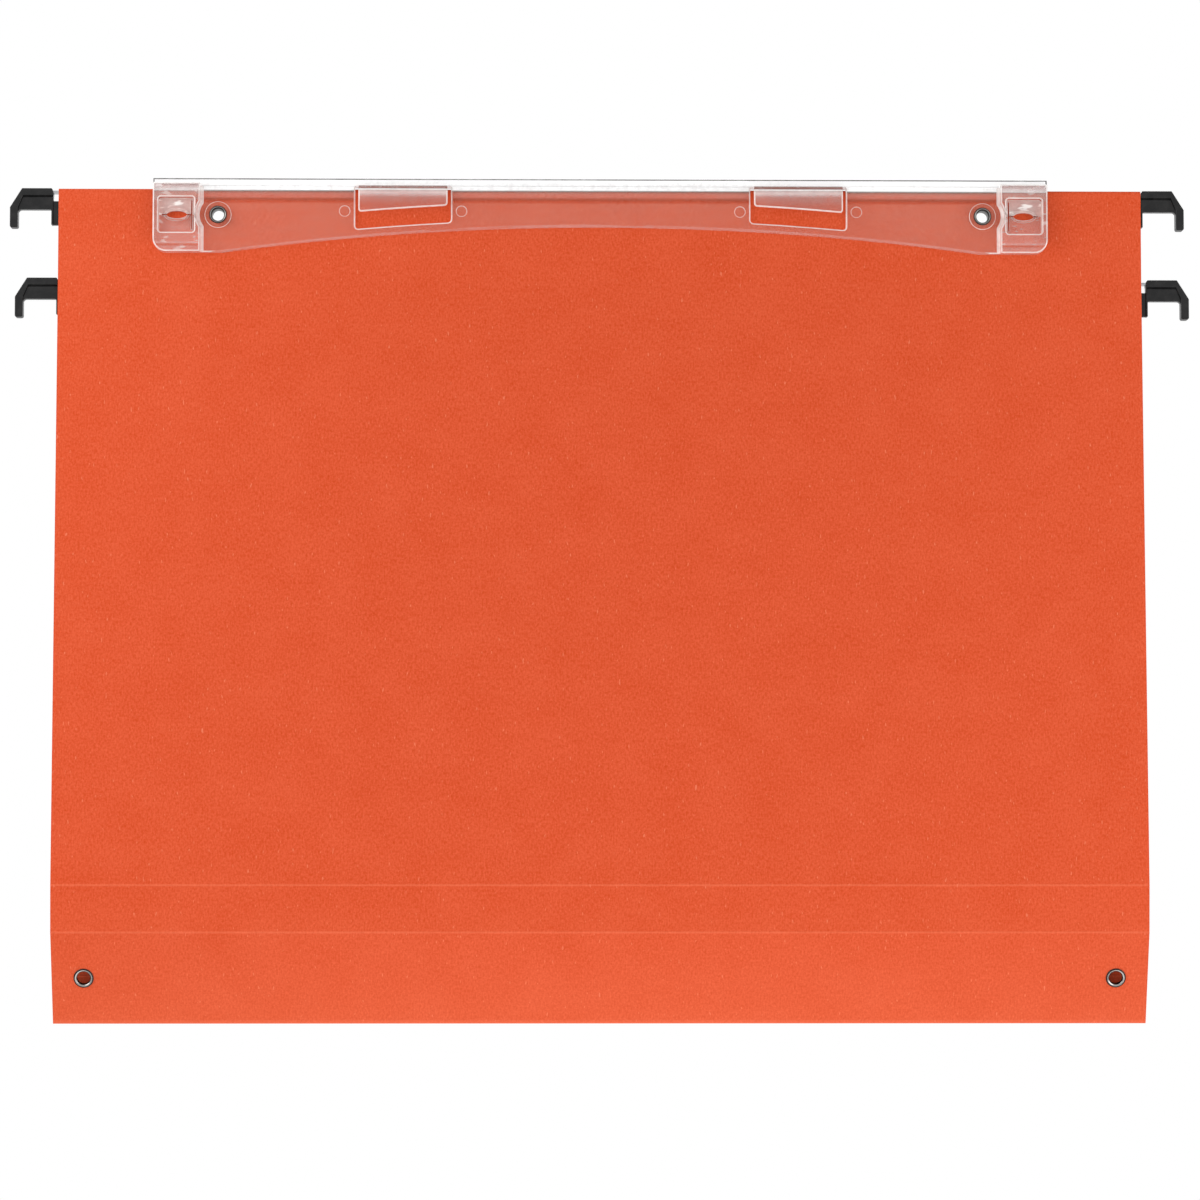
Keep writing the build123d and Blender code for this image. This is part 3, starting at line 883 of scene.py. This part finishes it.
for node in labelEyelets:
    addEyelet(node, "front_panel", Vector((0, -1, 0)), eyelet["labelLength"], eyelet["labelLip"])
baseFront = Vector((0, -baseInward.x, -baseInward.y))
for node in baseEyelets:
    addEyelet(node, "base", baseFront, eyelet["baseLength"], eyelet["baseLip"])
print("eyelets made")


def dress(node, finish):  # a CAD node keeps its shape and takes a finish
    mesh = nodes[node].data
    mesh.materials.clear()
    mesh.materials.append(finishes[finish])


dress("front_bar", "barSteel")
dress("rear_bar", "barSteel")
dress("label_insert", "labelPaper")
dress("base_stiffener", "stiffenerBoard")
print("frame nodes dressed")


floorLook = dict(level=-0.46, radius=1.6, fadeStart=0.45, fadeEnd=1.5, shade=(0.9, 0.9, 0.9))


def showsBackground(wire):  # rays that should see a white background
    rays = wire.node("ShaderNodeLightPath")
    lit = Wire(rays.tree, rays.socket.node.outputs["Is Camera Ray"])
    for name in ("Is Glossy Ray", "Is Transmission Ray"):
        lit = lit.maths("MAXIMUM", lit, Wire(rays.tree, rays.socket.node.outputs[name]))
    return lit


def addFloor():
    bm = bmesh.new()
    bmesh.ops.create_circle(
        bm,
        cap_ends=True,
        segments=96,
        radius=floorLook["radius"],
        matrix=Matrix.Translation((0, 0, floorLook["level"])),
    )
    mesh = bpy.data.meshes.new("floor")
    bm.to_mesh(mesh)
    bm.free()
    made, place = newMaterial("floor", "Object")
    flatPlace = place.node(
        "ShaderNodeVectorMath", {"operation": "MULTIPLY"}, {0: place, 1: (1, 1, 0)}
    )
    away = flatPlace.node("ShaderNodeVectorMath", {"operation": "LENGTH"}, {0: flatPlace}, out=1)
    fade = away.between(floorLook["fadeStart"], floorLook["fadeEnd"]) * showsBackground(place)
    matt = place.node("ShaderNodeBsdfDiffuse", {}, {"Color": floorLook["shade"] + (1,)})
    white = place.node("ShaderNodeEmission", {}, {"Strength": 1.0})
    mixed = place.node("ShaderNodeMixShader", {}, {0: fade, 1: matt, 2: white})
    place.node("ShaderNodeOutputMaterial", {}, {"Surface": mixed})
    mesh.materials.append(made)
    floor = bpy.data.objects.new("floor", mesh)
    bpy.context.scene.collection.objects.link(floor)


studio = dict(worldLevel=0.58, white=(1, 1, 1, 1))


def addWorld():
    world = bpy.data.worlds.new("studio")
    world.use_nodes = True
    tree = world.node_tree
    tree.nodes.clear()
    start = Wire(tree, tree.nodes.new("ShaderNodeTexCoord").outputs["Generated"])
    level = studio["worldLevel"]
    strength = level + (1 - level) * showsBackground(start)
    sky = start.node("ShaderNodeBackground", {}, {"Color": studio["white"], "Strength": strength})
    start.node("ShaderNodeOutputWorld", {}, {"Surface": sky})
    bpy.context.scene.world = world


lamps = [
    dict(name="keyLamp", place=(-0.5, -0.24, 0.1), size=0.5, power=2.32),
    dict(name="fillLamp", place=(0.5, -0.24, -0.1), size=0.5, power=1.44),
    dict(name="backLamp", place=(0.4, 1.4, 0.8), size=1.2, power=9.0),
    dict(name="lowLamp", place=(0, -0.09, -0.4), size=0.4, power=0.31),
]
viewpoint = dict(
    target=Vector((0.57, 0, -114.4)) * mm,
    distance=1.26,
    elevation=radians(-4),
    azimuth=radians(-0.96),
    lens=129.5,
    sensor=36.0,
)


def aim(made, place, target):
    made.location = place
    made.rotation_euler = (target - place).to_track_quat("-Z", "Y").to_euler()
    bpy.context.scene.collection.objects.link(made)


def addLamps():
    for lamp in lamps:
        light = bpy.data.lights.new(lamp["name"], "AREA")
        light.shape = "DISK"
        light.size = lamp["size"]
        light.energy = lamp["power"]
        made = bpy.data.objects.new(lamp["name"], light)
        made.visible_camera = False
        aim(made, Vector(lamp["place"]), viewpoint["target"])


def addCamera():
    lens = bpy.data.cameras.new("camera")
    lens.lens = viewpoint["lens"]
    lens.sensor_width = viewpoint["sensor"]
    lens.clip_start = 0.05
    camera = bpy.data.objects.new("camera", lens)
    slope, swing = viewpoint["elevation"], viewpoint["azimuth"]
    back = Vector((sin(swing) * cos(slope), -cos(swing) * cos(slope), sin(slope)))
    place = viewpoint["target"] + back * viewpoint["distance"]
    aim(camera, place, viewpoint["target"])
    bpy.context.scene.camera = camera


addFloor()
addWorld()
addLamps()
addCamera()
bpy.context.scene.view_settings.view_transform = "Standard"
print("studio set")
